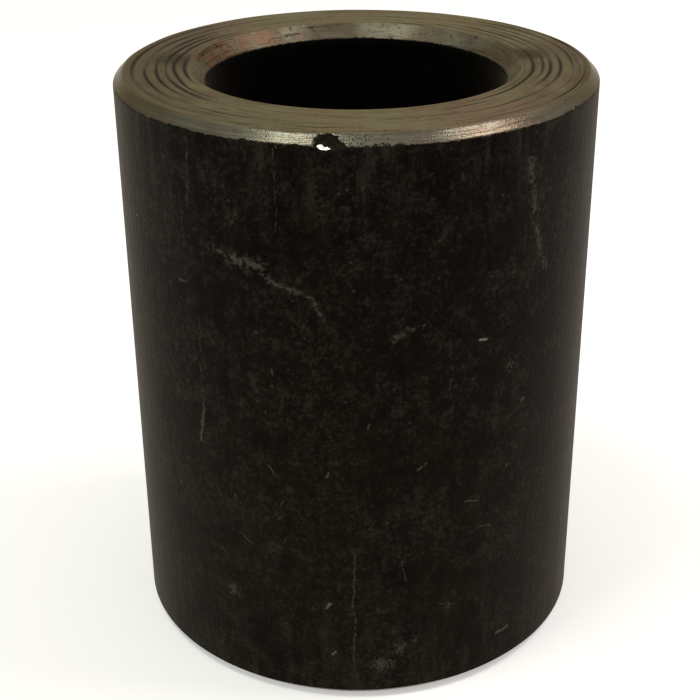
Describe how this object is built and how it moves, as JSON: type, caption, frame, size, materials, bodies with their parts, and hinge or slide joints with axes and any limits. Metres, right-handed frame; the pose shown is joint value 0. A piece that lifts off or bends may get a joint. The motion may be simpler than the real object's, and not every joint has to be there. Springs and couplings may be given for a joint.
{
  "type": "spacer sleeve",
  "caption": "Thick-walled steel spacer sleeve: a plain round tube with flat faced ends and chamfered edges, threaded onto a bolt or shaft to hold two parts apart.",
  "frame": {"origin": "middle of the lower end face, on the axis of the bore", "axes": "+Z along the bore axis, up from the end that the sleeve stands on towards the nicked rim; -Y towards the nick"},
  "size_m": [0.0508, 0.0508, 0.0635],
  "materials": {
    "scaled_steel": "drawn steel tube with black mill scale on the wall, bare turned ends dulled brown by handling and light rust, and brighter worn edges"
  },
  "bodies": {
    "root": {"spacer_sleeve": "scaled_steel"}
  },
  "joints": []
}
